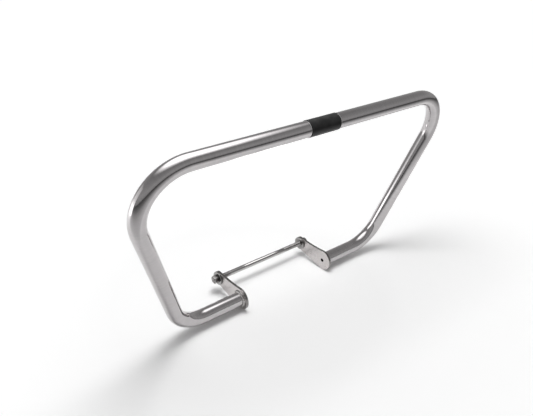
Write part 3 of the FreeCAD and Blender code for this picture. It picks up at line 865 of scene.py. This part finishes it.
metal = new_material("bright fastener steel", *nuts, *washers)
position = metal.here()
along, back, up = (metal.axis(position, number) for number in range(3))
off_axis = (back * back + up * up) ** 0.5
around_axis = metal.node("ShaderNodeCombineXYZ", {},
                         {0: along * MARKS_ALONG, 1: off_axis * MARKS_OUTWARDS})
turning = metal.noise(around_axis, 1.0, 2.0, 0.6)
smear = metal.noise(position, 210.0, 4.0, 0.6)
wear = metal.mark("wear")
# Painted shade where the pieces are seated and in the bores, broken up by the smear
painted_shade = (metal.mark("painted_shade") * (0.55 + smear)).at_most(1.0)
clean_steel = metal.mixed(wear * smear, FASTENER_STEEL, WORN_STEEL)
metal.finish({
    "Base Color": metal.mixed(painted_shade, clean_steel, PAINTED_SHADE),
    "Metallic": 1.0,
    "Roughness": 0.11 + (smear - 0.5) * 0.14 + painted_shade * 0.15,
    "Normal": metal.bump(turning, TURNING_DEPTH, 0.8, metal.bump(smear, SMEAR_DEPTH)),
})

# %% [markdown]
# ## Black vinyl
#
# The sleeve is a dull black with a fine even grain, like the skin of a cable. Dust and handling
# make it a little greyer and rougher in patches. It reflects like any plastic, so it is not
# metallic. Its grains are far smaller than the faces of its mesh, so they are bump.

# %% Sleeve material
BLACK, DUSTY = grey(0.009), grey(0.022)
GRAINS, GRAIN_HEIGHT = 1500.0, 0.00006

vinyl = new_material("black vinyl", sleeve)
skin_grain = vinyl.node("ShaderNodeTexVoronoi", {"feature": "SMOOTH_F1"},
                        {"Vector": vinyl.here(), "Scale": GRAINS})
dust = vinyl.noise(vinyl.here(), 70.0, 5.0, 0.6)
vinyl.finish({
    "Base Color": vinyl.mixed(vinyl.ramp(dust, [(0.35, 0), (0.75, 1)]), BLACK, DUSTY),
    "Specular IOR Level": 0.22,
    "Roughness": 0.38 + (dust - 0.5) * 0.2,
    "Normal": vinyl.bump(skin_grain, GRAIN_HEIGHT, 0.6),
})

# %% [markdown]
# ## Floor and studio
#
# Bright metal has little colour of its own: it shows the studio. The photograph's steel shows a
# white floor, a dark floor in front of it and to its right, grey walls that are a little lighter
# low down, one large round soft light overhead and a soft light on the left at the back, brightest
# low down. So the studio is built round the object, where a picture of one would bring its own
# colours and things along. The floor in the picture is white paper, which gives off a little light
# of its own further out, where the photograph's paper was lit to plain white. The metal shows the
# same paper. The walls, the dark floor and the lights stand outside the picture. They are hidden
# from the camera alone, so the background is white from every side.

# %% Helpers for the studio
DISC_RINGS, DISC_COLUMNS = 24, 96


def staged(name, points, close_columns):
    """A sheet of points in metres, which is part of the studio and not of the object."""
    mesh = bpy.data.meshes.new(name)
    rows, columns = points.shape[:2]
    faces = grid_faces(rows, columns, False, close_columns, 0)
    mesh.from_pydata(points.reshape(-1, 3).tolist(), [], faces.tolist())
    made = bpy.data.objects.new(name, mesh)
    bpy.context.scene.collection.objects.link(made)
    return made


def disc_points(inner, outer, middle):
    """Rings of points (x + r cos a, y + r sin a, z), with r = inner + (outer - inner) x share^2."""
    radius = inner + (outer - inner) * np.linspace(0, 1, DISC_RINGS)[:, None] ** 2
    turn = around(DISC_COLUMNS)[None, :]
    x, y, z = middle
    place = np.broadcast_arrays(x + radius * np.cos(turn), y + radius * np.sin(turn), z)
    return np.stack(place, -1)


def from_middle(sheet, x, y):
    """Distance on the floor plan from a point, in metres."""
    shifted = sheet.vectors("SUBTRACT", sheet.here(), (x, y, 0))
    return sheet.vectors("LENGTH", sheet.vectors("MULTIPLY", shifted, (1, 1, 0)), output=1)


def seen_directly(sheet):
    """1 on rays from the camera, and on glossy and transmission rays, so metal shows the same."""
    rays = [sheet.node("ShaderNodeLightPath", {}, {}, name)
            for name in ("Is Camera Ray", "Is Glossy Ray", "Is Transmission Ray")]
    return (rays[0] + rays[1] + rays[2]).at_most(1.0)


def glowing(name, piece, strength, shade=None):
    """An emitter that the camera misses. shade(sheet) gives the grey at each place, else white."""
    piece.visible_camera = False
    sheet = new_material(name, piece)
    sheet.show(sheet.glow(shade(sheet) if shade else grey(1), strength))


# %% White floor
FLOOR_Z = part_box("left_lug_plate")[0].z
FLOOR_RADIUS = 12.0
PAPER = 0.86
LIFT_MIDDLE, LIFT_REACH = (-0.08, -0.04), 2.5
# Light that the paper gives off at each distance from that place, in metres
FLOOR_LIFT = [(0.15, 0.0), (0.3, 0.04), (0.45, 0.135), (0.6, 0.235), (0.8, 0.365), (1.0, 0.495),
              (1.25, 0.59), (1.5, 0.665), (2.5, 0.75)]

floor = staged("floor", disc_points(0.0, FLOOR_RADIUS, (0, 0, FLOOR_Z)), True)
paper = new_material("white paper floor", floor)
lift = paper.ramp(from_middle(paper, *LIFT_MIDDLE) / LIFT_REACH,
                  [(distance / LIFT_REACH, amount) for distance, amount in FLOOR_LIFT])
lit = paper.node("ShaderNodeBsdfDiffuse", {}, {"Color": grey(PAPER)})
white = paper.glow(lift * seen_directly(paper))
paper.show(paper.node("ShaderNodeAddShader", {}, {0: lit, 1: white}))

# %% Dark floor in front, outside the picture
# Where the picture's piece of floor ends: its nearest corner, and the way out over each edge there
PICTURE_CORNER = (0.09, -0.64, 0.0)
WAYS_OUT = [(0.468, -0.884, 0.0), (-0.621, -0.784, 0.0)]
DARK_HOLE, DARK_LIFT, GLOOM = 0.5, 0.002, 0.10
# How far the paper is covered at each distance outside the picture, in metres
COVERED = [(0.0, 0.0), (0.12, 0.3), (0.45, 0.62), (0.8, 0.84), (1.3, 0.95), (2.4, 1.0)]

dark_floor = staged("dark_studio_floor",
                    disc_points(DARK_HOLE, FLOOR_RADIUS, (0, 0, FLOOR_Z + DARK_LIFT)), True)
dark_floor.visible_camera = dark_floor.visible_shadow = dark_floor.visible_diffuse = False
dark = new_material("dark studio floor", dark_floor)
past = dark.vectors("SUBTRACT", dark.here(), PICTURE_CORNER)
outside = [dark.vectors("DOT_PRODUCT", past, way, 1) for way in WAYS_OUT]
reach = COVERED[-1][0]
cover = dark.ramp(outside[0].at_least(outside[1]) / reach,
                  [(distance / reach, share) for distance, share in COVERED])
clear = dark.node("ShaderNodeBsdfTransparent")
dark.show(dark.node("ShaderNodeMixShader", {}, {0: cover, 1: clear, 2: dark.glow(grey(1), GLOOM)}))

# %% Grey tent
TENT_RADIUS, TENT_FOOT = 12.0, -0.01  # its foot lies a little below the floor
# Brightness against height as a share of the radius: lighter low down, with faint hoops
TENT_GREYS = [(0.0, 0.34), (0.26, 0.41), (0.42, 0.36), (0.59, 0.31), (0.72, 0.28), (0.83, 0.255),
              (1.0, 0.245)]
HOOPS, HOOP_SHARE = 11, 0.05
TENT_ROWS, TENT_COLUMNS = 24, 64

elevation = np.linspace(TENT_FOOT, pi / 2, TENT_ROWS)[:, None]
turn = around(TENT_COLUMNS)[None, :]
level = np.cos(elevation)
tent = staged("grey_tent", TENT_RADIUS * np.stack(np.broadcast_arrays(
    level * np.cos(turn), level * np.sin(turn), np.sin(elevation)), -1), True)


def tent_glow(sheet):
    """The greys by height, times 1 + share x sin(2 pi hoops x height)."""
    height = sheet.axis(sheet.here(), 2) / TENT_RADIUS
    hoop = sheet.node("ShaderNodeMath", {"operation": "SINE"}, {0: height * (2 * pi * HOOPS)})
    return sheet.ramp(height, TENT_GREYS) * (1 + hoop * HOOP_SHARE)


glowing("grey tent cloth", tent, 1.0, tent_glow)

# %% Round light overhead
LIGHT_PLACE, LIGHT_RADIUS, LIGHT_STRENGTH = (-0.09, 0.02, 1.08), 0.90, 2.3
# Share of its strength against distance from its middle; its soft edge ends in a faint dark ring
LIGHT_FALL = [(0.0, 1), (0.44, 1), (0.58, 0.55), (0.67, 0.37), (0.75, 0.23), (0.83, 0.13),
              (1.0, 0.11)]

top_light = staged("round_soft_light", disc_points(0.0, LIGHT_RADIUS, LIGHT_PLACE), True)
glowing("soft light cloth", top_light, LIGHT_STRENGTH, lambda sheet: sheet.ramp(
    from_middle(sheet, *LIGHT_PLACE[:2]) / LIGHT_RADIUS, LIGHT_FALL))

# %% The part of the round light that falls on the floor alone
LAMP_PLACE, LAMP_SIZE, LAMP_WATTS = (0.0, -0.06, 1.04), 0.5, 5.6

lamp_data = bpy.data.lights.new("floor_light", "AREA")
lamp_data.shape, lamp_data.size, lamp_data.energy = "DISK", LAMP_SIZE, LAMP_WATTS
floor_lamp = bpy.data.objects.new("floor_light", lamp_data)
floor_lamp.location = LAMP_PLACE
floor_lamp.visible_glossy = floor_lamp.visible_camera = False
bpy.context.scene.collection.objects.link(floor_lamp)
print(f"floor light: {LAMP_WATTS} W, {LAMP_SIZE} m across, {LAMP_PLACE[2]} m up")

# %% Soft light at the back left, brightest low down
SIDE_MIDDLE, SIDE_WIDTH, SIDE_STRENGTH = Vector((-1.277, 0.635, 0)), 0.95, 2.3
SIDE_FOOT, SIDE_TOP = FLOOR_Z + 0.01, 1.05
# Share of its strength by height above the origin, as a share of its top
SIDE_FALL = [(0.0, 1), (0.28, 1), (0.36, 0.72), (0.45, 0.5), (0.6, 0.4), (0.85, 0.33), (1.0, 0.1)]
PANEL_POINTS = 9

side_across = np.array(SIDE_MIDDLE.normalized().cross(Vector((0, 0, 1))))
share = np.linspace(-0.5, 0.5, PANEL_POINTS)[None, :, None]
rise = np.linspace(SIDE_FOOT, SIDE_TOP, PANEL_POINTS)[:, None, None]
side_light = staged("low_soft_light", np.array(SIDE_MIDDLE) + share * SIDE_WIDTH * side_across
                    + rise * np.array([0, 0, 1.0]), False)
glowing("low light cloth", side_light, SIDE_STRENGTH,
        lambda sheet: sheet.ramp(sheet.axis(sheet.here(), 2) / SIDE_TOP, SIDE_FALL))

# %% A card over the rod
# It gives the rod the white line that the photograph shows, and acts on reflections alone. Its
# slope shows only its edge to the left lower bend, which would mirror it as a white spot.
CARD_X, CARD_Y, CARD_LOW, CARD_SLOPE = (0.0, 0.13), (-0.04, 0.04), 0.097, 0.35
CARD_STRENGTH, CARD_COLUMNS, CARD_ROWS = 3.0, 9, 5

card_x, card_y = np.meshgrid(np.linspace(*CARD_X, CARD_COLUMNS), np.linspace(*CARD_Y, CARD_ROWS))
card = staged("rod_card", np.stack([card_x, card_y, CARD_LOW + CARD_SLOPE * card_x], -1), False)
card.visible_diffuse = card.visible_shadow = False
glowing("rod card", card, CARD_STRENGTH)

# %% White world behind the tent
SKY_LIGHT = 0.2  # its strength on rays that don't see it directly

world = bpy.data.worlds.new("white surround")
bpy.context.scene.world = world
sky = Sheet(world)
white_sky = seen_directly(sky) * (1 - SKY_LIGHT) + SKY_LIGHT
sky.show(sky.node("ShaderNodeBackground", {}, {"Color": white_sky, "Strength": 1.0}),
         "ShaderNodeOutputWorld")
print("world:", world.name)

# %% [markdown]
# ## Finish
#
# The view transform is Standard, so a colour shows as it is written.

# %% Set the view transform
bpy.context.scene.view_settings.view_transform = "Standard"
